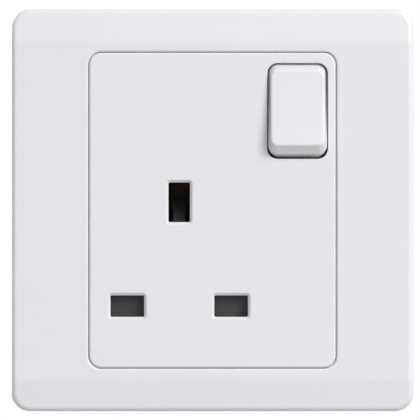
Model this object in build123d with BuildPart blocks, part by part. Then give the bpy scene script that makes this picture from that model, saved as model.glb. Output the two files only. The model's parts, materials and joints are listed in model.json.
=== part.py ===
from build123d import *
import os
from math import cos, radians, sin, tan

# Single switched socket with three rectangular pin openings and a clip-on cover frame.
#
# The wall is the XZ plane, +Z is up and the front faces -Y. The origin is the centre of the two
# fixing holes, on the wall. A height is measured from the wall towards the viewer, so that a piece
# inside the wall box has a negative height. All lengths are in millimetres, all angles in degrees.

# Outer plate
plate_side = 86.0
plate_height = 9.0
plate_corner_radius = 4.0
plate_edge_radius = 1.2
cover_wall = 2.0
cover_inner_radius = 2.0
band_width = 6.8  # the band along the top and the bottom edge that slopes back to the wall
band_slope = 9.0
band_blend_radius = 8.0
pry_notch_width = 8.0
pry_notch_height = 1.4

# Insert that fills the cover's window
insert_width = 52.7
insert_length = 67.3
insert_corner_radius = 2.6
insert_edge_radius = 0.45
insert_wall = 1.2
insert_inner_radius = 2.0
face_thickness = 2.5
window_gap = 0.2
ledge_width = 0.5  # the step around the insert that the cover's lip overhangs
ledge_depth = 0.8  # behind the plate's front
ledge_clearance = 0.1
collar_wall = 1.3
collar_depth = 2.6

# Flange behind the cover and the snap fit between them
flange_thickness = 2.5
flange_gap = 0.3
flange_corner_radius = 3.0
hook_spacing = 48.0
hook_length = 9.0
hook_bite = 0.6
hook_lead = 0.2  # height at which the lead-in slope starts
hook_height = 1.25
hook_back_slope = 0.25
hook_clearance = 0.15
rebate_margin = 0.5

# Fixing to the wall box
fixing_spacing = 60.3
fixing_hole_radius = 2.1
fixing_boss_radius = 4.5
fixing_boss_height = 1.2

# Plug pins and the openings for them
pin_spread = 22.2  # between line and neutral, and from them up to earth
pin_side_margin = 8.15  # from the insert's left side to the middle of the neutral pin
pin_bottom_margin = 13.15  # from the insert's lower end to the middle of that pin
line_slot_width = 7.2
line_slot_height = 4.6
earth_slot_width = 4.6
earth_slot_height = 8.5
slot_corner_radius = 0.3
slot_chamfer = 0.55
line_pin_length = 17.7
earth_pin_length = 22.7
pin_end_clearance = 0.6

# Rocker switch
rocker_side_margin = 1.7  # from the insert's right side to the well
rocker_top_margin = 2.25  # from the insert's upper end to the well
rocker_width = 12.5  # of the rim that fills the well
rocker_end_radius = 10.0  # of the rim's ends, around the pivot
rocker_side_gap = 0.2
rocker_end_gap = 0.2
rocker_rim = 2.6  # in front of the pivot
rocker_key_width = 12.0
rocker_key_length = 19.4
rocker_key_radius = 1.8
rocker_face_width = 11.5
rocker_face_length = 16.0
rocker_face_corner_radius = 1.5
rocker_face_hollow = 0.13
rocker_face_edge_radius = 0.5
rocker_pivot_depth = 3.6  # behind the plate's front
rocker_shoulder = 3.6  # in front of the pivot, where the bevels start
rocker_front = 5.7  # in front of the pivot
rocker_skirt = 1.5  # behind the pivot
rocker_wall = 1.4
rocker_crown = 2.9  # solid part behind the face
rocker_rib = 1.2
rocker_tilt = 6.5  # each way from the middle
trunnion_radius = 1.15
trunnion_reach = 0.9  # into the wall of the well
bearing_clearance = 0.05
bearing_end_clearance = 0.1
well_wall = 1.4
well_window_radius = 2.2
well_edge_radius = 0.3
well_back = 0.5
post_radius = 2.8
post_bore_clearance = 0.15
post_bore_front = 1.5  # in front of the pivot

# Plunger and its spring, inside the post
plunger_radius = 1.5
plunger_length = 6.15
plunger_show = 3.35  # out of the post
plunger_tip_clearance = 0.15  # to the contact arm
plunger_stem_radius = 0.75
plunger_stem_length = 3.0
plunger_wire = 0.4
plunger_spring_radius = 1.1  # to the middle of the wire
plunger_spring_turns = 6

# Rocking contact arm
arm_width = 3.6
arm_length = 14.0
arm_thickness = 1.0
arm_end_radius = 1.0
arm_tilt = 8.0  # each way from the middle
arm_pin_radius = 0.55
arm_side_gap = 0.3
arm_bearing_clearance = 0.05
tip_radius = 1.5
tip_edge_radius = 0.4
moving_tip_height = 0.8
tip_room = 1.0
fixed_tip_height = 0.75
contact_gap = 0.11  # left between the tips when the switch is on

# Sheet-metal contacts
clip_thickness = 0.8
clip_pinch = 1.8  # half the gap at the narrowest place
clip_mouth = 2.9  # half the gap at the mouth
clip_root = 2.4  # half the gap at the base
clip_bend_radius = 2.0
clip_corner_radius = 0.5
line_clip_width = 6.4
line_clip_mouth_depth = 7.8  # behind the plate's front
earth_clip_width = 8.0
earth_clip_mouth_depth = 9.4
clip_pinch_depth = 3.8  # behind the mouth
clip_root_rise = 2.0  # from the base to the foot of the leaf
clip_room = 0.6  # room for the leaves to spread
strip_thickness = 1.0
strip_leg_width = 6.0
strip_bend_radius = 0.8
strip_corner_radius = 2.0
ear_thickness = 0.8
ear_width = 3.0
ear_lip = 0.6  # in front of the arm's axis

# Terminals, their screws and the rivets
terminal_length = 10.3
terminal_depth = 8.5
terminal_height = 7.0
terminal_edge = 0.4
terminal_inset = 0.4  # inside the housing's side
terminal_bore_radius = 2.2
terminal_clearance = 0.15
line_terminal_rise = 5.7  # above the rocker's axis
screw_radius = 2.0
screw_clearance = 0.05
screw_head_radius = 2.9
screw_head_height = 2.2
screw_head_stand = 0.3
screw_tip_clearance = 0.2  # from the wire bore
screw_slot_width = 0.9
screw_slot_depth = 0.9
screw_slot_angle = 25.0
rivet_radius = 1.0
rivet_clearance = 0.05
rivet_head_radius = 1.6
rivet_head_height = 0.5
rivet_hold = 1.4  # length in a solid terminal

# Safety shutter
shutter_thickness = 2.6
shutter_clearance = 0.3  # to the front face
shutter_back_clearance = 0.2  # to the rear housing
shutter_blade_width = 10.0
shutter_blade_height = 7.2
shutter_blade_drop = 0.45  # the blade's middle below the pin openings
shutter_bridge_height = 4.6
shutter_corner_radius = 0.8
shutter_stem_width = 7.2
shutter_stem_top = 4.25  # below the earth pin's middle
shutter_window_width = 3.4
shutter_window_margin = 1.6
shutter_travel = 5.6
finger_width = 2.6
finger_depth = 6.0
finger_nose = 0.4
finger_clearance = 0.3
guide_wall = 1.2
guide_length = 12.0
guide_clearance = 0.25
shutter_wire = 0.4
shutter_spring_radius = 1.0  # to the middle of the wire
shutter_spring_turns = 9
spring_end_gap = 0.1
spring_peg_width = 2.6
spring_peg_height = 2.0
spring_peg_margin = 0.3

# Rear housing and the screws that hold it
housing_clearance = 0.3
housing_corner_radius = 2.2
housing_back_radius = 1.2
housing_margin = 0.5  # behind the terminal screws
housing_wall = 2.0
shallow_depth = 15.4  # of the corner that holds no contacts
pocket_clearance = 0.3
switch_pocket_width = 7.6
switch_pocket_length = 17.2
switch_pocket_depth = 2.0  # behind the arm's axis
boss_radius = 3.0
boss_edge_gap = 1.2
boss_screw_radius = 1.45
boss_screw_clearance = 0.06
boss_hole_depth = 0.4  # into the face
boss_screw_gap = 0.3  # from the screw's end to the hole's end
boss_screw_head_radius = 2.6
boss_screw_head_height = 2.1
boss_screw_seat = 6.4  # behind the housing's front
boss_screw_recess_width = 0.8
boss_screw_recess_length = 3.4
boss_screw_recess_depth = 1.1
boss_head_clearance = 0.3
boss_hole_clearance = 0.2

# Heights that follow from the sizes above
face_back = plate_height - face_thickness
shutter_front = face_back - shutter_clearance
shutter_back = shutter_front - shutter_thickness
housing_front = shutter_back - shutter_back_clearance
line_base = plate_height - line_pin_length - pin_end_clearance
earth_base = plate_height - earth_pin_length - pin_end_clearance
terminal_front = line_base - clip_thickness
terminal_back = terminal_front - terminal_depth
bore_height = terminal_front - terminal_depth / 2
earth_strip_front = earth_base - clip_thickness
screw_head_back = terminal_back - screw_head_stand - screw_head_height
housing_back = screw_head_back - housing_margin
shallow_back = housing_front - shallow_depth
boss_seat = housing_front - boss_screw_seat
rocker_pivot = plate_height - rocker_pivot_depth
contact_reach = (
    (line_terminal_rise + tip_radius - tip_edge_radius) * sin(radians(arm_tilt))
    + (arm_thickness / 2 + moving_tip_height - tip_edge_radius) * cos(radians(arm_tilt))
    + tip_edge_radius
)
arm_pivot = terminal_front + fixed_tip_height + contact_gap + contact_reach
plunger_tip_reach = rocker_pivot - arm_pivot - arm_thickness / 2 - plunger_tip_clearance
plunger_shoulder = plunger_tip_reach - plunger_length
post_reach = plunger_tip_reach - plunger_show
finger_back = shutter_front - finger_depth

# Places across the plate that follow from the sizes above
plate_half = plate_side / 2
cover_half = plate_half - cover_wall
flange_half = cover_half - flange_gap
band_start = plate_half - band_width
window_width = insert_width + 2 * window_gap
window_length = insert_length + 2 * window_gap
step_width = insert_width + 2 * ledge_width
step_length = insert_length + 2 * ledge_width
collar_width = step_width + 2 * window_gap
collar_length = step_length + 2 * window_gap
collar_radius = insert_corner_radius + ledge_width + window_gap
cavity_width = insert_width - 2 * insert_wall
cavity_length = insert_length - 2 * insert_wall
housing_half_width = cavity_width / 2 - housing_clearance
housing_half_length = cavity_length / 2 - housing_clearance
neutral_x = pin_side_margin - insert_width / 2
line_x = neutral_x + pin_spread
socket_x = (neutral_x + line_x) / 2  # the earth pin's place across the plate
socket_z = pin_bottom_margin - insert_length / 2  # the height of the line and neutral pins
earth_z = socket_z + pin_spread
well_width = rocker_width + 2 * rocker_side_gap
well_length = 2 * (rocker_end_radius + rocker_end_gap)
rocker_x = insert_width / 2 - rocker_side_margin - well_width / 2
rocker_z = insert_length / 2 - rocker_top_margin - well_length / 2
terminal_x = housing_half_width - terminal_inset - terminal_length / 2
terminal_inner_x = terminal_x - terminal_length / 2
notch_inner_x = terminal_inner_x - terminal_clearance
shallow_right = notch_inner_x - housing_wall
shallow_bottom = earth_z + earth_clip_width / 2 + pocket_clearance + housing_wall
line_terminal_z = rocker_z + line_terminal_rise
strip_width = arm_width + 2 * arm_side_gap + 2 * ear_thickness
hook_reach = flange_gap + hook_bite
blade_z = socket_z - shutter_blade_drop
blade_top = blade_z + shutter_blade_height / 2
blade_bottom = blade_z - shutter_blade_height / 2
stem_top = earth_z - shutter_stem_top
spring_top = stem_top - shutter_window_margin
peg_bottom = blade_bottom + shutter_bridge_height + spring_peg_margin
spring_bottom = peg_bottom + spring_peg_height
boss_inset = boss_radius + boss_edge_gap
boss_places = [
    (boss_inset - housing_half_width, housing_half_length - boss_inset),
    (boss_inset - housing_half_width, (socket_z + earth_z) / 2),
    (rocker_x, boss_inset - housing_half_length),
    ((socket_x + rocker_x) / 2, earth_z),
]


def front_plane(height):
    """The plane parallel to the wall at a height, with local x to the right and local y up."""
    return Plane.XZ.offset(height)


def side_plane(x):
    """The plane across the plate at x. Its local x runs into the wall and its local y runs up."""
    return Plane.YZ.offset(x)


def tilted_plane(x, height, z, angle):
    """A plane that faces the front and is turned up by an angle, with local x to the right."""
    return Plane(
        origin=(x, -height, z),
        x_dir=(1, 0, 0),
        z_dir=(0, -cos(radians(angle)), sin(radians(angle))),
    )


def plate_profile(half, height):
    """Side view of the domed plate: a flat middle, and bands that slope back at both ends."""
    drop = (half - band_start) * tan(radians(band_slope))
    with BuildSketch() as profile:
        with BuildLine():
            Polyline(
                (0, -half),
                (drop - height, -half),
                (-height, -band_start),
                (-height, band_start),
                (drop - height, half),
                (0, half),
                close=True,
            )
        make_face()
        fillet(profile.vertices().group_by(Axis.X)[0], band_blend_radius)
    return profile.sketch


def clip_profile(mouth, base):
    """Folded contact clip, seen along the pin's flat side: the heights run along local y."""
    pinch = mouth - clip_pinch_depth
    foot = base + clip_root_rise
    with BuildSketch() as profile:
        with BuildLine():
            FilletPolyline(
                (-clip_mouth, mouth),
                (-clip_pinch, pinch),
                (-clip_root, foot),
                (-clip_root, base),
                (clip_root, base),
                (clip_root, foot),
                (clip_pinch, pinch),
                (clip_mouth, mouth),
                radius=[
                    clip_bend_radius,
                    clip_bend_radius,
                    clip_corner_radius,
                    clip_corner_radius,
                    clip_bend_radius,
                    clip_bend_radius,
                ],
            )
            offset(amount=clip_thickness, side=Side.RIGHT)
        make_face()
    return profile.sketch


os.makedirs("parts", exist_ok=True)

# Cover frame: the outer surround, which snaps over the flange

with BuildPart() as cover_frame:
    with BuildSketch(side_plane(-plate_half)):
        add(plate_profile(plate_half, plate_height))
    extrude(amount=plate_side)
    fillet(cover_frame.edges().filter_by(Axis.Y), plate_corner_radius)
    rim = cover_frame.edges().filter_by(Axis.Y, reverse=True).filter_by(
        lambda edge: edge.center().Y < -plate_height / 2
        and max(abs(edge.center().X), abs(edge.center().Z)) > plate_half - plate_corner_radius
    )
    fillet(rim, plate_edge_radius)

    # The hollow behind the front, with rounded inner corners
    with BuildSketch(side_plane(-cover_half)):
        add(plate_profile(cover_half, plate_height - cover_wall))
    extrude(amount=2 * cover_half, mode=Mode.SUBTRACT)
    inner_corners = cover_frame.edges().filter_by(Axis.Y).filter_by(
        lambda edge: max(abs(edge.center().X), abs(edge.center().Z)) < cover_half + flange_gap
    )
    fillet(inner_corners, cover_inner_radius)

    # The window for the insert, its lip, and the collar that stiffens it from behind
    with BuildSketch(front_plane(plate_height)):
        RectangleRounded(window_width, window_length, insert_corner_radius + window_gap)
    extrude(amount=-2 * cover_wall, mode=Mode.SUBTRACT)
    fillet(cover_frame.edges(Select.LAST).group_by(Axis.Y)[0], insert_edge_radius)
    with BuildSketch(front_plane(plate_height - ledge_depth + ledge_clearance)):
        RectangleRounded(collar_width, collar_length, collar_radius)
    extrude(amount=-2 * cover_wall, mode=Mode.SUBTRACT)
    with BuildSketch(front_plane(plate_height - cover_wall)):
        RectangleRounded(
            collar_width + 2 * collar_wall,
            collar_length + 2 * collar_wall,
            collar_radius + collar_wall,
        )
        RectangleRounded(collar_width, collar_length, collar_radius, mode=Mode.SUBTRACT)
    extrude(amount=-collar_depth)

    # Snap hooks on the top and bottom walls
    for side in (-1, 1):
        for hook_x in (-hook_spacing / 2, hook_spacing / 2):
            with BuildSketch(side_plane(hook_x - hook_length / 2)):
                with BuildLine():
                    Polyline(
                        (-hook_lead, side * cover_half),
                        (hook_back_slope - hook_height, side * (cover_half - hook_reach)),
                        (-hook_height, side * cover_half),
                        close=True,
                    )
                make_face()
            extrude(amount=hook_length)

    # Notch in the lower wall for a screwdriver blade
    with BuildSketch(front_plane(0)):
        with Locations((0, -plate_half)):
            Rectangle(pry_notch_width, 2 * (cover_wall + flange_gap))
    extrude(amount=pry_notch_height, mode=Mode.SUBTRACT)

cover_frame.part.label = "cover_frame"
export_step(cover_frame.part, "parts/cover_frame.step")


# Front moulding: the insert, its switch well and the flange that is screwed to the wall box

with BuildPart() as front_moulding:
    with BuildSketch(front_plane(0)):
        RectangleRounded(2 * flange_half, 2 * flange_half, flange_corner_radius)
    extrude(amount=flange_thickness)
    with BuildSketch(front_plane(0)):
        RectangleRounded(step_width, step_length, insert_corner_radius + ledge_width)
    extrude(amount=plate_height - ledge_depth)
    with BuildSketch(front_plane(0)):
        RectangleRounded(insert_width, insert_length, insert_corner_radius)
    extrude(amount=plate_height)
    fillet(front_moulding.edges().group_by(Axis.Y)[0], insert_edge_radius)
    with BuildSketch(front_plane(0)):
        RectangleRounded(cavity_width, cavity_length, insert_inner_radius)
    extrude(amount=face_back, mode=Mode.SUBTRACT)

    # Well around the rocker
    with BuildSketch(front_plane(well_back)):
        with Locations((rocker_x, rocker_z)):
            RectangleRounded(
                well_width + 2 * well_wall,
                well_length + 2 * well_wall,
                well_window_radius + well_wall,
            )
    extrude(amount=face_back - well_back)
    with BuildSketch(front_plane(plate_height)):
        with Locations((rocker_x, rocker_z)):
            RectangleRounded(well_width, well_length, well_window_radius)
    extrude(amount=well_back - plate_height, mode=Mode.SUBTRACT)
    fillet(front_moulding.edges(Select.LAST).group_by(Axis.Y)[0], well_edge_radius)

    # Bearing slots in the sides of the well, open to the rear
    with BuildSketch(side_plane(rocker_x)):
        with Locations((-rocker_pivot, rocker_z)):
            Circle(trunnion_radius + bearing_clearance)
        with Locations((-rocker_pivot / 2, rocker_z)):
            Rectangle(rocker_pivot, 2 * (trunnion_radius + bearing_clearance))
    extrude(
        amount=well_width / 2 + trunnion_reach + bearing_end_clearance,
        both=True,
        mode=Mode.SUBTRACT,
    )

    # Openings for the plug's pins
    with BuildSketch(front_plane(plate_height)):
        with Locations((neutral_x, socket_z), (line_x, socket_z)):
            RectangleRounded(line_slot_width, line_slot_height, slot_corner_radius)
        with Locations((socket_x, earth_z)):
            RectangleRounded(earth_slot_width, earth_slot_height, slot_corner_radius)
    extrude(amount=-face_thickness, mode=Mode.SUBTRACT)
    chamfer(front_moulding.edges(Select.LAST).group_by(Axis.Y)[0], slot_chamfer)

    # Ribs that guide the stem of the shutter
    guide_offset = shutter_stem_width / 2 + guide_clearance + guide_wall / 2
    guide_z = blade_top + guide_clearance + guide_length / 2
    with BuildSketch(front_plane(shutter_back)):
        with Locations((socket_x - guide_offset, guide_z), (socket_x + guide_offset, guide_z)):
            Rectangle(guide_wall, guide_length)
    extrude(amount=face_back - shutter_back)

    # Bosses for the assembly screws
    with BuildSketch(front_plane(housing_front)):
        with Locations(*boss_places):
            Circle(boss_radius)
    extrude(amount=face_back - housing_front)
    with BuildSketch(front_plane(housing_front)):
        with Locations(*boss_places):
            Circle(boss_screw_radius + boss_screw_clearance)
    extrude(amount=face_back + boss_hole_depth - housing_front, mode=Mode.SUBTRACT)

    # Fixing holes in raised bosses
    with BuildSketch(front_plane(flange_thickness)):
        with GridLocations(fixing_spacing, 0, 2, 1):
            Circle(fixing_boss_radius)
    extrude(amount=fixing_boss_height)
    with BuildSketch(front_plane(0)):
        with GridLocations(fixing_spacing, 0, 2, 1):
            Circle(fixing_hole_radius)
    extrude(amount=flange_thickness + fixing_boss_height, mode=Mode.SUBTRACT)

    # Rebates behind the edge of the flange, where the cover's hooks catch
    with BuildSketch(front_plane(0)):
        with GridLocations(hook_spacing, 2 * flange_half, 2, 2):
            Rectangle(hook_length + 2 * rebate_margin, 2 * (hook_bite + rebate_margin))
    extrude(amount=hook_height + hook_clearance, mode=Mode.SUBTRACT)

front_moulding.part.label = "front_moulding"
export_step(front_moulding.part, "parts/front_moulding.step")


# Rocker, in its off position: the top is pressed in

rocker_plane = tilted_plane(rocker_x, rocker_pivot, rocker_z, rocker_tilt)
rocker_side = Plane(
    origin=rocker_plane.origin, x_dir=rocker_plane.y_dir, z_dir=rocker_plane.x_dir
)

with BuildPart() as rocker:
    with BuildSketch(rocker_side):
        Circle(rocker_end_radius)
        with Locations((0, (rocker_rim - rocker_skirt) / 2)):
            Rectangle(2 * rocker_end_radius, rocker_rim + rocker_skirt, mode=Mode.INTERSECT)
    extrude(amount=rocker_width / 2, both=True)

    # The rim's corners are rounder than the well's, so that they clear them as the rocker swings
    with BuildSketch(rocker_plane.offset(-rocker_skirt)):
        RectangleRounded(
            rocker_width, 2 * rocker_end_radius, well_window_radius + rocker_side_gap
        )
    extrude(amount=rocker_skirt + rocker_rim, mode=Mode.INTERSECT)

    # The key on the rim, with bevelled sides
    with BuildSketch(rocker_plane):
        RectangleRounded(rocker_key_width, rocker_key_length, rocker_key_radius)
    extrude(amount=rocker_shoulder)
    with BuildSketch(rocker_plane.offset(rocker_shoulder)):
        RectangleRounded(rocker_key_width, rocker_key_length, rocker_key_radius)
    with BuildSketch(rocker_plane.offset(rocker_front)):
        RectangleRounded(rocker_face_width, rocker_face_length, rocker_face_corner_radius)
    loft()

    # The slight hollow of the face
    with BuildSketch(rocker_side):
        with BuildLine():
            hollow = ThreePointArc(
                (-rocker_face_length / 2, rocker_front),
                (0, rocker_front - rocker_face_hollow),
                (rocker_face_length / 2, rocker_front),
            )
            Line(hollow @ 1, hollow @ 0)
        make_face()
    extrude(amount=rocker_width / 2, both=True, mode=Mode.SUBTRACT)
    front_edges = rocker.edges().filter_by(
        lambda edge: rocker_plane.to_local_coords(edge.center()).Z
        > rocker_front - 2 * rocker_face_hollow
    )
    fillet(front_edges, rocker_face_edge_radius)

    # Hollow inside, with the post for the plunger and a rib across it
    with BuildSketch(rocker_plane.offset(-rocker_skirt)):
        RectangleRounded(
            rocker_key_width - 2 * rocker_wall,
            rocker_key_length - 2 * rocker_wall,
            rocker_key_radius - rocker_wall / 2,
        )
    extrude(amount=rocker_skirt + rocker_front - rocker_crown, mode=Mode.SUBTRACT)
    with BuildSketch(rocker_plane.offset(-rocker_skirt)):
        Rectangle(rocker_key_width - rocker_wall, rocker_rib)
    extrude(amount=rocker_skirt + rocker_front - rocker_crown)
    with BuildSketch(rocker_plane.offset(-post_reach)):
        Circle(post_radius)
    extrude(amount=post_reach + rocker_front - rocker_crown)
    with BuildSketch(rocker_plane.offset(-post_reach)):
        Circle(plunger_radius + post_bore_clearance)
    extrude(amount=post_reach + post_bore_front, mode=Mode.SUBTRACT)

    # Trunnions
    for side in (-1, 1):
        with BuildSketch(side_plane(rocker_x + side * (rocker_width / 2 - rocker_wall))):
            with Locations((-rocker_pivot, rocker_z)):
                Circle(trunnion_radius)
        extrude(amount=side * (rocker_wall + rocker_side_gap + trunnion_reach))

rocker.part.label = "rocker"
export_step(rocker.part, "parts/rocker.step")


# Plunger that the rocker's post pushes along the contact arm

with BuildPart() as rocker_plunger:
    with BuildSketch(rocker_side):
        with BuildLine():
            stem = Polyline(
                (0, plunger_stem_length - plunger_shoulder),
                (plunger_stem_radius, plunger_stem_length - plunger_shoulder),
                (plunger_stem_radius, -plunger_shoulder),
                (plunger_radius, -plunger_shoulder),
                (plunger_radius, plunger_radius - plunger_tip_reach),
            )
            tip = RadiusArc(stem @ 1, (0, -plunger_tip_reach), plunger_radius)
            Line(tip @ 1, stem @ 0)
        make_face()
    revolve(axis=Axis(rocker_plane.origin, rocker_plane.z_dir))

rocker_plunger.part.label = "rocker_plunger"
export_step(rocker_plunger.part, "parts/rocker_plunger.step")


# Plunger spring, between the plunger's shoulder and the end of the post's bore

with BuildPart() as plunger_spring:
    plunger_spring_end = post_bore_front - spring_end_gap - plunger_wire / 2
    plunger_spring_start = -plunger_shoulder + spring_end_gap + plunger_wire / 2
    plunger_spring_length = plunger_spring_end - plunger_spring_start
    with BuildLine() as plunger_coil:
        Helix(
            pitch=plunger_spring_length / plunger_spring_turns,
            height=plunger_spring_length,
            radius=plunger_spring_radius,
            center=rocker_plane.offset(plunger_spring_start).origin,
            direction=rocker_plane.z_dir,
        )
    with BuildSketch(Plane(origin=plunger_coil.line @ 0, z_dir=plunger_coil.line % 0)):
        Circle(plunger_wire / 2)
    sweep(path=plunger_coil.line, is_frenet=True)

plunger_spring.part.label = "plunger_spring"
export_step(plunger_spring.part, "parts/plunger_spring.step")


# Contact arm, a see-saw that stands in the ears of the line strip, in its off position

arm_plane = tilted_plane(rocker_x, arm_pivot, rocker_z, -arm_tilt)

with BuildPart() as seesaw_contact:
    with BuildSketch(arm_plane.offset(-arm_thickness / 2)):
        RectangleRounded(arm_width, arm_length, arm_end_radius)
    extrude(amount=arm_thickness)
    with BuildSketch(side_plane(rocker_x)):
        with Locations((-arm_pivot, rocker_z)):
            Circle(arm_pin_radius)
    extrude(amount=strip_width / 2, both=True)

seesaw_contact.part.label = "seesaw_contact"
export_step(seesaw_contact.part, "parts/seesaw_contact.step")

with BuildPart() as moving_contact_tip:
    with BuildSketch(arm_plane.offset(-arm_thickness / 2)):
        with Locations((0, line_terminal_rise)):
            Circle(tip_radius)
    extrude(amount=-moving_tip_height)
    fillet(moving_contact_tip.edges().sort_by(Axis.Y)[-1], tip_edge_radius)

moving_contact_tip.part.label = "moving_contact_tip"
export_step(moving_contact_tip.part, "parts/moving_contact_tip.step")

with BuildPart() as fixed_contact_tip:
    with BuildSketch(front_plane(terminal_front)):
        with Locations((rocker_x, line_terminal_z)):
            Circle(tip_radius)
    extrude(amount=fixed_tip_height)
    fillet(fixed_contact_tip.edges().sort_by(Axis.Y)[0], tip_edge_radius)

fixed_contact_tip.part.label = "fixed_contact_tip"
export_step(fixed_contact_tip.part, "parts/fixed_contact_tip.step")


# Line strip: from the ears under the contact arm down to the line clip


def line_strip_outline(margin):
    """The strip seen from the front, grown by a margin."""
    with BuildSketch() as outline:
        left = rocker_x - strip_width / 2
        top = socket_z + strip_leg_width / 2
        with Locations((rocker_x, (rocker_z + ear_width / 2 + top) / 2)):
            Rectangle(strip_width + 2 * margin, rocker_z + ear_width / 2 - top + 2 * margin)
        with Locations(((line_x - line_clip_width / 2 + rocker_x + strip_width / 2) / 2, socket_z)):
            Rectangle(
                rocker_x + strip_width / 2 - line_x + line_clip_width / 2 + 2 * margin,
                strip_leg_width + 2 * margin,
            )
        inner_corner = outline.vertices().sort_by_distance((left - margin, top + margin))[0]
        fillet(inner_corner, strip_corner_radius)
    return outline.sketch


with BuildPart() as line_strip:
    with BuildSketch(front_plane(terminal_front - strip_thickness)):
        add(line_strip_outline(0))
        with Locations((line_x, socket_z)):
            Circle(rivet_radius + rivet_clearance, mode=Mode.SUBTRACT)
    extrude(amount=strip_thickness)
    ear_front = arm_pivot + ear_lip
    for side in (-1, 1):
        with BuildSketch(side_plane(rocker_x + side * (strip_width / 2 - ear_thickness))):
            with Locations((-(ear_front + terminal_front) / 2, rocker_z)):
                Rectangle(ear_front - terminal_front, ear_width)
            with Locations((-arm_pivot, rocker_z)):
                Circle(arm_pin_radius + arm_bearing_clearance, mode=Mode.SUBTRACT)
            with Locations((-(ear_front + arm_pivot) / 2, rocker_z)):
                Rectangle(
                    ear_front - arm_pivot,
                    2 * (arm_pin_radius + arm_bearing_clearance),
                    mode=Mode.SUBTRACT,
                )
        extrude(amount=side * ear_thickness)

line_strip.part.label = "line_strip"
export_step(line_strip.part, "parts/line_strip.step")


# Contact clips for the three pins


def make_line_clip(name, x):
    """A clip with leaves above and below a flat line or neutral pin."""
    with BuildPart() as clip:
        with BuildSketch(Plane(origin=(x, 0, socket_z), x_dir=(0, 0, 1), z_dir=(1, 0, 0))):
            add(clip_profile(plate_height - line_clip_mouth_depth, line_base))
        extrude(amount=line_clip_width / 2, both=True)
        with BuildSketch(front_plane(line_base)):
            with Locations((x, socket_z)):
                Circle(rivet_radius + rivet_clearance)
        extrude(amount=-clip_thickness, mode=Mode.SUBTRACT)
    clip.part.label = name
    export_step(clip.part, f"parts/{name}.step")


make_line_clip("line_clip", line_x)
make_line_clip("neutral_clip", neutral_x)

earth_section = Plane(origin=(socket_x, 0, earth_z), x_dir=(1, 0, 0), z_dir=(0, 0, -1))

with BuildPart() as earth_clip:
    with BuildSketch(earth_section):
        add(clip_profile(plate_height - earth_clip_mouth_depth, earth_base))
    extrude(amount=earth_clip_width / 2, both=True)
    with BuildSketch(front_plane(earth_base)):
        with Locations((socket_x, earth_z)):
            Circle(rivet_radius + rivet_clearance)
    extrude(amount=-clip_thickness, mode=Mode.SUBTRACT)

earth_clip.part.label = "earth_clip"
export_step(earth_clip.part, "parts/earth_clip.step")

# Earth strip: from the foot of the earth clip, bent up along the side of its terminal

with BuildPart() as earth_strip:
    leg_x = -terminal_inner_x - socket_x
    with BuildSketch(earth_section):
        with BuildLine():
            FilletPolyline(
                (clip_root + clip_thickness, earth_strip_front - strip_thickness),
                (leg_x, earth_strip_front - strip_thickness),
                (leg_x, terminal_front - terminal_edge),
                radius=strip_bend_radius + strip_thickness,
            )
            offset(amount=strip_thickness, side=Side.RIGHT)
        make_face()
    extrude(amount=strip_leg_width / 2, both=True)
    with BuildSketch(front_plane(earth_strip_front)):
        with Locations((socket_x, earth_z)):
            Circle(rivet_radius + rivet_clearance)
    extrude(amount=-strip_thickness, mode=Mode.SUBTRACT)

earth_strip.part.label = "earth_strip"
export_step(earth_strip.part, "parts/earth_strip.step")


# Brass terminals, each with a wire bore along X and a screw from the rear


def make_terminal(name, x, z, riveted):
    """A terminal block. The neutral clip is riveted straight to its block."""
    with BuildPart() as terminal:
        with BuildSketch(front_plane(terminal_back)):
            with Locations((x, z)):
                Rectangle(terminal_length, terminal_height)
        extrude(amount=terminal_depth)
        chamfer(terminal.edges(), terminal_edge)
        with BuildSketch(side_plane(x)):
            with Locations((-bore_height, z)):
                Circle(terminal_bore_radius)
        extrude(amount=terminal_length / 2, both=True, mode=Mode.SUBTRACT)
        with BuildSketch(front_plane(terminal_back)):
            with Locations((x, z)):
                Circle(screw_radius + screw_clearance)
        extrude(amount=terminal_depth / 2, mode=Mode.SUBTRACT)
        if riveted:
            with BuildSketch(front_plane(terminal_front)):
                with Locations((neutral_x, socket_z)):
                    Circle(rivet_radius + rivet_clearance)
            extrude(amount=-rivet_hold - rivet_clearance, mode=Mode.SUBTRACT)
    terminal.part.label = name
    export_step(terminal.part, f"parts/{name}.step")


make_terminal("line_terminal", terminal_x, line_terminal_z, False)
make_terminal("neutral_terminal", -terminal_x, socket_z, True)
make_terminal("earth_terminal", -terminal_x, earth_z, False)

with BuildPart() as terminal_screws:
    screw_places = [(terminal_x, line_terminal_z), (-terminal_x, socket_z), (-terminal_x, earth_z)]
    screw_tip = bore_height - terminal_bore_radius - screw_tip_clearance
    screw_head_front = terminal_back - screw_head_stand
    with BuildSketch(front_plane(screw_head_front)):
        with Locations(*screw_places):
            Circle(screw_radius)
    extrude(amount=screw_tip - screw_head_front)
    with BuildSketch(front_plane(screw_head_front)):
        with Locations(*screw_places):
            Circle(screw_head_radius)
    extrude(amount=-screw_head_height)
    with BuildSketch(front_plane(screw_head_back)):
        with Locations(*screw_places):
            Rectangle(2 * screw_head_radius, screw_slot_width, rotation=screw_slot_angle)
    extrude(amount=screw_slot_depth, mode=Mode.SUBTRACT)

terminal_screws.part.label = "terminal_screws"
export_step(terminal_screws.part, "parts/terminal_screws.step")

# Rivets through the feet of the clips. Two have a second head behind their strip.

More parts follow.
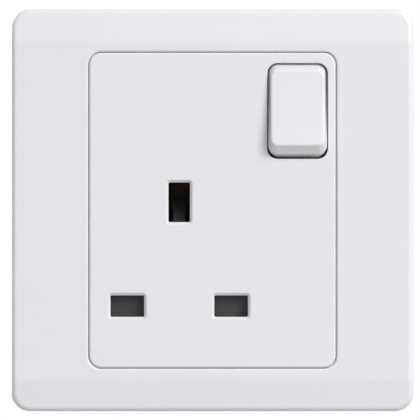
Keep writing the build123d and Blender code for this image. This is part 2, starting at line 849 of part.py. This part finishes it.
with BuildPart() as contact_rivets:
    rivets = [
        ((neutral_x, socket_z), line_base, terminal_front - rivet_hold, False),
        ((line_x, socket_z), line_base, terminal_front - strip_thickness, True),
        ((socket_x, earth_z), earth_base, earth_strip_front - strip_thickness, True),
    ]
    for place, base, end, closed in rivets:
        with BuildSketch(front_plane(base)):
            with Locations(place):
                Circle(rivet_head_radius)
        extrude(amount=rivet_head_height)
        with BuildSketch(front_plane(base)):
            with Locations(place):
                Circle(rivet_radius)
        extrude(amount=end - base)
        if closed:
            with BuildSketch(front_plane(end)):
                with Locations(place):
                    Circle(rivet_head_radius)
            extrude(amount=-rivet_head_height)

contact_rivets.part.label = "contact_rivets"
export_step(contact_rivets.part, "parts/contact_rivets.step")


# Safety shutter, closed: two blades on a bridge, a stem with a window for the spring, and a finger
# with a ramp that the earth pin presses down

with BuildPart() as shutter:
    with BuildSketch(front_plane(shutter_back)) as shutter_outline:
        with Locations((neutral_x, blade_z), (line_x, blade_z)):
            Rectangle(shutter_blade_width, shutter_blade_height)
        with Locations((socket_x, blade_bottom)):
            Rectangle(pin_spread, shutter_bridge_height, align=(Align.CENTER, Align.MIN))
            Rectangle(
                shutter_stem_width, stem_top - blade_bottom, align=(Align.CENTER, Align.MIN)
            )
        fillet(shutter_outline.vertices(), shutter_corner_radius)
        with Locations((socket_x, spring_top)):
            Rectangle(
                shutter_window_width,
                spring_top - blade_bottom - shutter_bridge_height,
                align=(Align.CENTER, Align.MAX),
                mode=Mode.SUBTRACT,
            )
    extrude(amount=shutter_thickness)
    with BuildSketch(side_plane(socket_x)):
        with BuildLine():
            Polyline(
                (-shutter_front, spring_top),
                (-shutter_front, stem_top),
                (-finger_back - finger_nose, stem_top + shutter_travel),
                (-finger_back, stem_top + shutter_travel),
                (-finger_back, stem_top),
                (-shutter_back, spring_top),
                close=True,
            )
        make_face()
    extrude(amount=finger_width / 2, both=True)

shutter.part.label = "shutter"
export_step(shutter.part, "parts/shutter.step")

with BuildPart() as shutter_spring:
    shutter_spring_start = spring_bottom + spring_end_gap + shutter_wire / 2
    shutter_spring_length = spring_top - spring_end_gap - shutter_wire / 2 - shutter_spring_start
    with BuildLine() as shutter_coil:
        Helix(
            pitch=shutter_spring_length / shutter_spring_turns,
            height=shutter_spring_length,
            radius=shutter_spring_radius,
            center=(socket_x, -(shutter_front + shutter_back) / 2, shutter_spring_start),
        )
    with BuildSketch(Plane(origin=shutter_coil.line @ 0, z_dir=shutter_coil.line % 0)):
        Circle(shutter_wire / 2)
    sweep(path=shutter_coil.line, is_frenet=True)

shutter_spring.part.label = "shutter_spring"
export_step(shutter_spring.part, "parts/shutter_spring.step")


# Rear housing: the base with the contact pockets, open to the front, and the terminal notches. The
# corner that holds no contacts is shallower, to leave room for the wires.

with BuildPart() as rear_housing:
    with BuildSketch(front_plane(shallow_back)):
        RectangleRounded(
            2 * housing_half_width, 2 * housing_half_length, housing_corner_radius
        )
    extrude(amount=housing_front - shallow_back)
    fillet(rear_housing.edges().group_by(Axis.Y)[-1], housing_back_radius)
    with BuildSketch(front_plane(housing_back)) as deep_outline:
        RectangleRounded(
            2 * housing_half_width, 2 * housing_half_length, housing_corner_radius
        )
        with Locations((-housing_half_width, housing_half_length)):
            Rectangle(
                shallow_right + housing_half_width,
                housing_half_length - shallow_bottom,
                align=(Align.MIN, Align.MAX),
                mode=Mode.SUBTRACT,
            )
        step_corners = deep_outline.vertices().filter_by(
            lambda corner: corner.X < shallow_right + housing_back_radius
            and corner.Z > shallow_bottom - housing_back_radius
        )
        fillet(step_corners, housing_back_radius)
    extrude(amount=housing_front - housing_back)
    fillet(rear_housing.edges().group_by(Axis.Y)[-1], housing_back_radius)

    # Recess around the switch well, and the pocket for the post and the contact arm
    with BuildSketch(front_plane(housing_front)):
        with Locations((rocker_x, rocker_z)):
            Rectangle(
                well_width + 2 * well_wall + 2 * housing_clearance,
                well_length + 2 * well_wall + 2 * housing_clearance,
            )
    extrude(amount=well_back - pocket_clearance - housing_front, mode=Mode.SUBTRACT)
    with BuildSketch(front_plane(well_back)):
        with Locations((rocker_x, rocker_z)):
            Rectangle(switch_pocket_width, switch_pocket_length)
    extrude(amount=arm_pivot - switch_pocket_depth - well_back, mode=Mode.SUBTRACT)
    with BuildSketch(front_plane(arm_pivot)):
        with Locations((rocker_x, line_terminal_z)):
            Circle(tip_radius + tip_room)
    extrude(amount=terminal_front - arm_pivot, mode=Mode.SUBTRACT)

    # Channel for the line strip, with room for its rivet
    with BuildSketch(front_plane(terminal_front - strip_thickness)):
        add(line_strip_outline(pocket_clearance))
    extrude(amount=housing_front - terminal_front + strip_thickness, mode=Mode.SUBTRACT)
    with BuildSketch(front_plane(terminal_front - strip_thickness)):
        with Locations((line_x, socket_z)):
            Circle(rivet_head_radius + pocket_clearance)
    extrude(amount=-rivet_head_height - pocket_clearance, mode=Mode.SUBTRACT)

    # Pockets for the clips
    leaf_room = 2 * (clip_mouth + clip_thickness + clip_room)
    with BuildSketch(front_plane(housing_front)):
        with Locations((neutral_x, socket_z), (line_x, socket_z)):
            Rectangle(line_clip_width + 2 * pocket_clearance, leaf_room)
    extrude(amount=terminal_front - housing_front, mode=Mode.SUBTRACT)
    with BuildSketch(front_plane(housing_front)):
        with Locations((socket_x, earth_z)):
            Rectangle(leaf_room, earth_clip_width + 2 * pocket_clearance)
    extrude(amount=earth_strip_front - housing_front, mode=Mode.SUBTRACT)

    # Slot for the shutter's finger, and the peg that its spring stands on
    with BuildSketch(front_plane(housing_front)):
        with Locations((socket_x, earth_z)):
            Rectangle(
                finger_width + 2 * finger_clearance,
                earth_z - spring_top + shutter_travel + finger_clearance,
                align=(Align.CENTER, Align.MAX),
            )
    extrude(amount=finger_back - finger_clearance - housing_front, mode=Mode.SUBTRACT)
    with BuildSketch(front_plane(housing_front)):
        with Locations((socket_x, peg_bottom)):
            Rectangle(spring_peg_width, spring_peg_height, align=(Align.CENTER, Align.MIN))
    extrude(amount=shutter_front - housing_front)

    # Notches for the terminals, open to the side and the rear
    notch_width = housing_half_width - notch_inner_x
    notch_height = terminal_height + 2 * terminal_clearance
    with BuildSketch(front_plane(housing_back)):
        with Locations((notch_inner_x, line_terminal_z)):
            Rectangle(notch_width, notch_height, align=(Align.MIN, Align.CENTER))
        with Locations((-notch_inner_x, socket_z), (-notch_inner_x, earth_z)):
            Rectangle(notch_width, notch_height, align=(Align.MAX, Align.CENTER))
    extrude(amount=terminal_front - housing_back, mode=Mode.SUBTRACT)

    # Channel for the earth strip, open to the rear, and the slot for its upright leg
    strip_room = strip_leg_width + 2 * pocket_clearance
    strip_end = socket_x + clip_root + clip_thickness + pocket_clearance
    with BuildSketch(front_plane(housing_back)):
        with Locations((-notch_inner_x, earth_z)):
            Rectangle(strip_end + notch_inner_x, strip_room, align=(Align.MIN, Align.CENTER))
    extrude(amount=earth_strip_front - housing_back, mode=Mode.SUBTRACT)
    with BuildSketch(front_plane(housing_back)):
        with Locations((-notch_inner_x, earth_z)):
            Rectangle(
                strip_thickness + strip_bend_radius,
                strip_room,
                align=(Align.MIN, Align.CENTER),
            )
    extrude(amount=terminal_front - housing_back, mode=Mode.SUBTRACT)

    # Counterbored holes for the assembly screws
    with BuildSketch(front_plane(housing_back)):
        with Locations(*boss_places):
            Circle(boss_screw_head_radius + boss_head_clearance)
    extrude(amount=boss_seat - housing_back, mode=Mode.SUBTRACT)
    with BuildSketch(front_plane(boss_seat)):
        with Locations(*boss_places):
            Circle(boss_screw_radius + boss_hole_clearance)
    extrude(amount=housing_front - boss_seat, mode=Mode.SUBTRACT)

rear_housing.part.label = "rear_housing"
export_step(rear_housing.part, "parts/rear_housing.step")


# Assembly screws, from the rear housing into the bosses of the front moulding

with BuildPart() as assembly_screws:
    boss_screw_end = face_back + boss_hole_depth - boss_screw_gap
    with BuildSketch(front_plane(boss_seat)):
        with Locations(*boss_places):
            Circle(boss_screw_radius)
    extrude(amount=boss_screw_end - boss_seat)
    chamfer(assembly_screws.edges().group_by(Axis.Y)[0], boss_screw_radius / 2)
    with BuildSketch(front_plane(boss_seat)):
        with Locations(*boss_places):
            Circle(boss_screw_head_radius)
    extrude(amount=-boss_screw_head_height)
    with BuildSketch(front_plane(boss_seat - boss_screw_head_height)):
        with Locations(*boss_places):
            Rectangle(boss_screw_recess_length, boss_screw_recess_width)
            Rectangle(boss_screw_recess_width, boss_screw_recess_length)
    extrude(amount=boss_screw_recess_depth, mode=Mode.SUBTRACT)

assembly_screws.part.label = "assembly_screws"
export_step(assembly_screws.part, "parts/assembly_screws.step")
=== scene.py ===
import json
from math import radians

import bmesh
import bpy
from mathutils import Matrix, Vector


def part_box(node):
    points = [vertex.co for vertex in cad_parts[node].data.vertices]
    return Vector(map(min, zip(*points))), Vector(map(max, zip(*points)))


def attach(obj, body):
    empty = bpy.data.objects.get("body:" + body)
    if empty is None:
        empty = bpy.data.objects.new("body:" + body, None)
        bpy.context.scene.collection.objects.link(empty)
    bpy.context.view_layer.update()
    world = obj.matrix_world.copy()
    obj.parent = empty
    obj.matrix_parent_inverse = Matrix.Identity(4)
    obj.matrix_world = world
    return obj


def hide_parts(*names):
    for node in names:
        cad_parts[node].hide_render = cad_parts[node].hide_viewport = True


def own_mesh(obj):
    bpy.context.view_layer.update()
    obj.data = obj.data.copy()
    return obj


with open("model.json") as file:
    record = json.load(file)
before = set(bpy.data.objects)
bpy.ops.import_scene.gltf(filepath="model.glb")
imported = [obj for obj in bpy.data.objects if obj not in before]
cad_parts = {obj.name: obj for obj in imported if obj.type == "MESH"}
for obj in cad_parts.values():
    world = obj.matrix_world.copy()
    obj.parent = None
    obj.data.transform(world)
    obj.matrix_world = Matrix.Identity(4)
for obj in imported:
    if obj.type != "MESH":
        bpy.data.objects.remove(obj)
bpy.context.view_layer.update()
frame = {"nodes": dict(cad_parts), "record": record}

# Looks of a single switched wall socket. Lengths are in metres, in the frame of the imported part:
# +Z up, the front faces -Y.

MM = 0.001
scene = bpy.context.scene
nodes = frame["nodes"]

# The photograph is square on to the plate, in a frame of 420 by 420 pixels
IMAGE_PIXELS = 420
PIXELS_PER_MM = 4.68
PLATE_CENTRE_PIXEL = (212.42, 210.24)
CAMERA_DISTANCE = 1.6
NEAR_CLIP = 0.05
FAR_CLIP = 20

# Most of a noise lies in this range, so colours and roughness are spread over it
NOISE_LOW = 0.3
NOISE_HIGH = 0.7

# Plastic and metal: noise in cycles per metre, and the share of the relief that shows
CLOUD_SCALE = 90
CLOUD_DETAIL = 3
GLOSS_SCALE = 400
GLOSS_DETAIL = 4
GRAIN_DETAIL = 2
STREAK_DETAIL = 5
PLASTIC_BUMP = 0.35
METAL_BUMP = 0.25
PLASTIC_IOR = 1.5

# Raised marks on the back of the rear housing
MARK_HEIGHT = 3.0 * MM
MARK_RELIEF = 0.25 * MM
MARK_SINK = 0.05 * MM
MARK_GAP = 1.4 * MM
CAPITAL_SHARE = 0.7  # of the font's size
# Earth symbol, in mark heights: the stem's width and top, then each bar's width, bottom and top
EARTH_STEM = (0.16, 0.51)
EARTH_BARS = [(0.9, 0.01, 0.15), (0.58, -0.22, -0.08), (0.26, -0.45, -0.31)]

# Soft light from all round, two lamps and a floor that stays out of the main view
SKY_COLOUR = (0.98, 0.985, 1.0)
SKY_LOW = 0.17
SKY_HIGH = 0.62
KEY_PLACE = (0.9, -1.06, 0.82)
KEY_SIZE = 0.66
KEY_POWER = 21.4
BACK_PLACE = (-1.6, 2.2, 0.5)
BACK_SIZE = 1.5
BACK_POWER = 50
FLOOR_DROP = 16 * MM  # below the plate
FLOOR_RADIUS = 0.36
FLOOR_FADE_START = FLOOR_RADIUS / 3
FLOOR_SIDES = 96
FLOOR_ROUGHNESS = 0.8
FLOOR_NOISE_SCALE = 30
FLOOR_NOISE_DETAIL = 3
FLOOR_BOUNCE = (0.5, 0.5, 0.5)
FLOOR_LOW = (0.78, 0.78, 0.78)
FLOOR_HIGH = (0.82, 0.82, 0.82)


def material(name):
    """A new material with its node tree, and its main shader."""
    made = bpy.data.materials.new(name)
    made.use_nodes = True
    return made, made.node_tree, made.node_tree.nodes["Principled BSDF"]


def add_noise(tree, scale, detail, stretch=(1, 1, 1)):
    """Noise in object space, in cycles per metre. The stretch squeezes it along an axis."""
    place = tree.nodes.new("ShaderNodeTexCoord")
    mapping = tree.nodes.new("ShaderNodeMapping")
    mapping.inputs["Scale"].default_value = stretch
    noise = tree.nodes.new("ShaderNodeTexNoise")
    noise.inputs["Scale"].default_value = scale
    noise.inputs["Detail"].default_value = detail
    tree.links.new(place.outputs["Object"], mapping.inputs["Vector"])
    tree.links.new(mapping.outputs["Vector"], noise.inputs["Vector"])
    return noise.outputs["Fac"]


def ramp_between(tree, factor, low, high):
    """A colour that goes from low to high over the range of a noise."""
    ramp = tree.nodes.new("ShaderNodeValToRGB")
    ramp.color_ramp.elements[0].position = NOISE_LOW
    ramp.color_ramp.elements[0].color = (*low, 1)
    ramp.color_ramp.elements[1].position = NOISE_HIGH
    ramp.color_ramp.elements[1].color = (*high, 1)
    tree.links.new(factor, ramp.inputs["Fac"])
    return ramp.outputs["Color"]


def map_value(tree, factor, low, high):
    """A number that goes from low to high over the range of a noise."""
    mapped = tree.nodes.new("ShaderNodeMapRange")
    mapped.inputs["From Min"].default_value = NOISE_LOW
    mapped.inputs["From Max"].default_value = NOISE_HIGH
    mapped.inputs["To Min"].default_value = low
    mapped.inputs["To Max"].default_value = high
    tree.links.new(factor, mapped.inputs["Value"])
    return mapped.outputs["Result"]


def add_bump(tree, shader, height, strength, distance):
    """Relief from a height in the range 0 to 1, at a real depth."""
    bump = tree.nodes.new("ShaderNodeBump")
    bump.inputs["Strength"].default_value = strength
    bump.inputs["Distance"].default_value = distance
    tree.links.new(height, bump.inputs["Height"])
    tree.links.new(bump.outputs["Normal"], shader.inputs["Normal"])


def moulded_plastic(name, colour, shade, roughness, spread, grain, relief):
    """Moulded plastic: a faint cloudiness, a fine grain from the mould and uneven gloss."""
    made, tree, shader = material(name)
    darker = tuple(c * (1 - shade) for c in colour)
    clouds = add_noise(tree, CLOUD_SCALE, CLOUD_DETAIL)
    tree.links.new(ramp_between(tree, clouds, darker, colour), shader.inputs["Base Color"])
    gloss = add_noise(tree, GLOSS_SCALE, GLOSS_DETAIL)
    tree.links.new(
        map_value(tree, gloss, roughness - spread, roughness + spread), shader.inputs["Roughness"]
    )
    add_bump(tree, shader, add_noise(tree, grain, GRAIN_DETAIL), PLASTIC_BUMP, relief)
    shader.inputs["IOR"].default_value = PLASTIC_IOR
    return made


def worked_metal(name, colour, shade, roughness, spread, grain, stretch, relief):
    """Rolled, drawn or cut metal: streaks along the working direction, with uneven polish."""
    made, tree, shader = material(name)
    darker = tuple(c * (1 - shade) for c in colour)
    streaks = add_noise(tree, grain, STREAK_DETAIL, stretch)
    tree.links.new(ramp_between(tree, streaks, darker, colour), shader.inputs["Base Color"])
    tree.links.new(
        map_value(tree, streaks, roughness + spread, roughness - spread), shader.inputs["Roughness"]
    )
    add_bump(tree, shader, streaks, METAL_BUMP, relief)
    shader.inputs["Metallic"].default_value = 1.0
    return made


MATERIALS = {
    "white_plastic": moulded_plastic(
        "white_plastic",
        (0.745, 0.75, 0.77),
        shade=0.012,
        roughness=0.34,
        spread=0.03,
        grain=2600,
        relief=0.012 * MM,
    ),
    "grey_plastic": moulded_plastic(
        "grey_plastic",
        (0.56, 0.57, 0.57),
        shade=0.05,
        roughness=0.5,
        spread=0.06,
        grain=1800,
        relief=0.03 * MM,
    ),
    "dark_plastic": moulded_plastic(
        "dark_plastic",
        (0.0185, 0.0225, 0.0245),
        shade=0.12,
        roughness=0.55,
        spread=0.05,
        grain=2200,
        relief=0.02 * MM,
    ),
    "nylon": moulded_plastic(
        "nylon",
        (0.76, 0.73, 0.64),
        shade=0.05,
        roughness=0.4,
        spread=0.05,
        grain=1500,
        relief=0.02 * MM,
    ),
    "terminal_brass": worked_metal(
        "terminal_brass",
        (0.72, 0.5, 0.2),
        shade=0.06,
        roughness=0.26,
        spread=0.04,
        grain=1600,
        stretch=(1, 4, 4),
        relief=0.003 * MM,
    ),
    "rivet_brass": worked_metal(
        "rivet_brass",
        (0.3, 0.21, 0.11),
        shade=0.2,
        roughness=0.6,
        spread=0.06,
        grain=2000,
        stretch=(1, 1, 1),
        relief=0.012 * MM,
    ),
    "spring_bronze": worked_metal(
        "spring_bronze",
        (0.28, 0.19, 0.115),
        shade=0.05,
        roughness=0.62,
        spread=0.03,
        grain=3000,
        stretch=(1, 3, 1),
        relief=0.003 * MM,
    ),
    "silver_tips": worked_metal(
        "silver_tips",
        (0.82, 0.81, 0.79),
        shade=0.1,
        roughness=0.38,
        spread=0.08,
        grain=2000,
        stretch=(1, 1, 1),
        relief=0.015 * MM,
    ),
    "plated_steel": worked_metal(
        "plated_steel",
        (0.62, 0.62, 0.6),
        shade=0.04,
        roughness=0.28,
        spread=0.03,
        grain=3000,
        stretch=(1, 1, 1),
        relief=0.003 * MM,
    ),
    "spring_wire": worked_metal(
        "spring_wire",
        (0.5, 0.5, 0.5),
        shade=0.15,
        roughness=0.3,
        spread=0.06,
        grain=1800,
        stretch=(1, 1, 3),
        relief=0.01 * MM,
    ),
}

for part in frame["record"]["subparts"]:
    node = nodes[part["node"]]
    for place in node.material_slots:
        place.material = MATERIALS[part["material_slot"]]


def finish_mark(mark):
    """A raised mark is moulded with the rear housing, so it has its material and moves with it."""
    mark.data.materials.append(MATERIALS["grey_plastic"])
    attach(mark, "socket_body")


def add_letter(name, letter, x, back, z):
    """A raised letter on the back of the housing, upright when it is read from behind."""
    text = bpy.data.curves.new(name, "FONT")
    text.body = letter
    text.size = MARK_HEIGHT / CAPITAL_SHARE
    text.align_x = "CENTER"
    text.align_y = "CENTER"
    text.extrude = (MARK_RELIEF + MARK_SINK) / 2
    outline = bpy.data.objects.new(name + "_outline", text)
    scene.collection.objects.link(outline)
    shape = bpy.data.meshes.new_from_object(
        outline.evaluated_get(bpy.context.evaluated_depsgraph_get())
    )
    bpy.data.objects.remove(outline)
    mark = bpy.data.objects.new(name, shape)
    scene.collection.objects.link(mark)
    mark.rotation_euler = (radians(90), 0, radians(180))
    mark.location = (x, back + (MARK_RELIEF - MARK_SINK) / 2, z)
    finish_mark(mark)


def add_earth_mark(name, x, back, z):
    """The raised earth symbol: a stem on a long bar, over two bars that get shorter."""
    wide, low, high = EARTH_BARS[0]
    stem, top = EARTH_STEM
    outlines = [
        [
            (-wide / 2, low),
            (wide / 2, low),
            (wide / 2, high),
            (stem / 2, high),
            (stem / 2, top),
            (-stem / 2, top),
            (-stem / 2, high),
            (-wide / 2, high),
        ]
    ]
    for wide, low, high in EARTH_BARS[1:]:
        outlines.append(
            [(-wide / 2, low), (wide / 2, low), (wide / 2, high), (-wide / 2, high)]
        )
    depth = MARK_RELIEF + MARK_SINK
    shape = bmesh.new()
    for outline in outlines:
        corners = [
            shape.verts.new((across * MARK_HEIGHT, -depth / 2, up * MARK_HEIGHT))
            for across, up in outline
        ]
        front = shape.faces.new(corners)
        back_face = bmesh.ops.extrude_face_region(shape, geom=[front])["geom"]
        moved = [part for part in back_face if isinstance(part, bmesh.types.BMVert)]
        bmesh.ops.translate(shape, vec=(0, depth, 0), verts=moved)
    bmesh.ops.recalc_face_normals(shape, faces=shape.faces)
    mesh = bpy.data.meshes.new(name)
    shape.to_mesh(mesh)
    shape.free()
    mark = bpy.data.objects.new(name, mesh)
    scene.collection.objects.link(mark)
    mark.location = (x, back + (MARK_RELIEF - MARK_SINK) / 2, z)
    finish_mark(mark)


housing_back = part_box("rear_housing")[1].y
line_low, line_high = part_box("line_terminal")
neutral_low, neutral_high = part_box("neutral_terminal")
strip_low, strip_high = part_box("earth_strip")
mark_offset = MARK_GAP + MARK_HEIGHT / 2
add_letter(
    "line_mark", "L", (line_low.x + line_high.x) / 2, housing_back, line_low.z - mark_offset
)
add_letter(
    "neutral_mark",
    "N",
    neutral_high.x + mark_offset,
    housing_back,
    (neutral_low.z + neutral_high.z) / 2,
)
add_earth_mark(
    "earth_mark", strip_high.x + mark_offset, housing_back, (strip_low.z + strip_high.z) / 2
)


def add_working_spring(name, node, body):
    """A spring in its own shape and place, with a mesh of its own, that moves with its body."""
    spring = bpy.data.objects.new(name, nodes[node].data.copy())
    scene.collection.objects.link(spring)
    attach(spring, body)
    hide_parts(node)
    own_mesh(spring)


add_working_spring("shutter_coil", "shutter_spring", "socket_body")
add_working_spring("plunger_coil", "plunger_spring", "rocker_body")


def aim(thing, target):
    """Turns a lamp or a camera so that it looks at a point."""
    thing.rotation_euler = (Vector(target) - thing.location).to_track_quat("-Z", "Y").to_euler()


def add_area_lamp(name, place, size, power):
    """A soft square lamp that shines on the part."""
    lamp = bpy.data.lights.new(name, "AREA")
    lamp.size = size
    lamp.energy = power
    made = bpy.data.objects.new(name, lamp)
    made.location = place
    scene.collection.objects.link(made)
    aim(made, (0, 0, 0))


def add_seen(tree):
    """One for rays from the camera, from gloss and through glass, and zero for soft light."""
    path = tree.nodes.new("ShaderNodeLightPath")
    seen = path.outputs["Is Camera Ray"]
    for ray in ("Is Glossy Ray", "Is Transmission Ray"):
        either = tree.nodes.new("ShaderNodeMath")
        either.operation = "MAXIMUM"
        tree.links.new(seen, either.inputs[0])
        tree.links.new(path.outputs[ray], either.inputs[1])
        seen = either.outputs["Value"]
    return seen


def set_world(light_colour, low, high):
    """Soft light from all round, stronger from above. The camera and the gloss see plain white."""
    world = bpy.data.worlds.new("studio")
    world.use_nodes = True
    scene.world = world
    tree = world.node_tree
    tree.nodes.clear()
    soft = tree.nodes.new("ShaderNodeBackground")
    soft.inputs["Color"].default_value = (*light_colour, 1)
    place = tree.nodes.new("ShaderNodeTexCoord")
    split = tree.nodes.new("ShaderNodeSeparateXYZ")
    tree.links.new(place.outputs["Generated"], split.inputs["Vector"])
    level = tree.nodes.new("ShaderNodeMapRange")
    level.inputs["From Min"].default_value = -1  # straight down
    level.inputs["To Min"].default_value = low
    level.inputs["To Max"].default_value = high
    tree.links.new(split.outputs["Z"], level.inputs["Value"])
    tree.links.new(level.outputs["Result"], soft.inputs["Strength"])
    white = tree.nodes.new("ShaderNodeBackground")
    white.inputs["Color"].default_value = (1, 1, 1, 1)
    white.inputs["Strength"].default_value = 1.0
    mix = tree.nodes.new("ShaderNodeMixShader")
    tree.links.new(add_seen(tree), mix.inputs["Fac"])
    tree.links.new(soft.outputs["Background"], mix.inputs[1])
    tree.links.new(white.outputs["Background"], mix.inputs[2])
    output = tree.nodes.new("ShaderNodeOutputWorld")
    tree.links.new(mix.outputs["Shader"], output.inputs["Surface"])


def add_floor(height):
    """A pale round floor. It throws little light back and fades to white at its rim."""
    bpy.ops.mesh.primitive_circle_add(
        vertices=FLOOR_SIDES, radius=FLOOR_RADIUS, fill_type="NGON", location=(0, 0, height)
    )
    floor = bpy.context.object
    floor.name = "floor"
    made, tree, shader = material("floor")
    shader.inputs["Roughness"].default_value = FLOOR_ROUGHNESS
    seen = add_seen(tree)
    colour = tree.nodes.new("ShaderNodeMix")
    colour.data_type = "RGBA"
    colour.inputs["A"].default_value = (*FLOOR_BOUNCE, 1)
    tree.links.new(seen, colour.inputs["Factor"])
    clouds = add_noise(tree, FLOOR_NOISE_SCALE, FLOOR_NOISE_DETAIL)
    tree.links.new(ramp_between(tree, clouds, FLOOR_LOW, FLOOR_HIGH), colour.inputs["B"])
    tree.links.new(colour.outputs["Result"], shader.inputs["Base Color"])

    place = tree.nodes.new("ShaderNodeTexCoord")
    distance = tree.nodes.new("ShaderNodeVectorMath")
    distance.operation = "LENGTH"
    tree.links.new(place.outputs["Object"], distance.inputs[0])
    fade = tree.nodes.new("ShaderNodeMapRange")
    fade.interpolation_type = "SMOOTHSTEP"
    fade.inputs["From Min"].default_value = FLOOR_FADE_START
    fade.inputs["From Max"].default_value = FLOOR_RADIUS
    tree.links.new(distance.outputs["Value"], fade.inputs["Value"])
    rim = tree.nodes.new("ShaderNodeMath")
    rim.operation = "MULTIPLY"
    tree.links.new(fade.outputs["Result"], rim.inputs[0])
    tree.links.new(seen, rim.inputs[1])
    white = tree.nodes.new("ShaderNodeEmission")
    mix = tree.nodes.new("ShaderNodeMixShader")
    tree.links.new(rim.outputs["Value"], mix.inputs["Fac"])
    tree.links.new(shader.outputs["BSDF"], mix.inputs[1])
    tree.links.new(white.outputs["Emission"], mix.inputs[2])
    tree.links.new(mix.outputs["Shader"], tree.nodes["Material Output"].inputs["Surface"])
    floor.data.materials.append(made)


def add_camera(front):
    """A long lens square on to the plate, framed as the photograph is."""
    data = bpy.data.cameras.new("camera")
    camera = bpy.data.objects.new("camera", data)
    scene.collection.objects.link(camera)
    middle = IMAGE_PIXELS / 2
    x = (middle - PLATE_CENTRE_PIXEL[0]) / PIXELS_PER_MM * MM
    z = (PLATE_CENTRE_PIXEL[1] - middle) / PIXELS_PER_MM * MM
    camera.location = (x, front - CAMERA_DISTANCE, z)
    aim(camera, (x, front, z))
    data.sensor_fit = "HORIZONTAL"
    seen_width = IMAGE_PIXELS / PIXELS_PER_MM * MM
    data.lens = data.sensor_width * CAMERA_DISTANCE / seen_width
    data.clip_start = NEAR_CLIP
    data.clip_end = FAR_CLIP
    scene.camera = camera


plate_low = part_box("cover_frame")[0]
add_camera(plate_low.y)
add_floor(plate_low.z - FLOOR_DROP)
set_world(SKY_COLOUR, SKY_LOW, SKY_HIGH)
add_area_lamp("key", KEY_PLACE, KEY_SIZE, KEY_POWER)
add_area_lamp("back", BACK_PLACE, BACK_SIZE, BACK_POWER)
scene.view_settings.view_transform = "Standard"
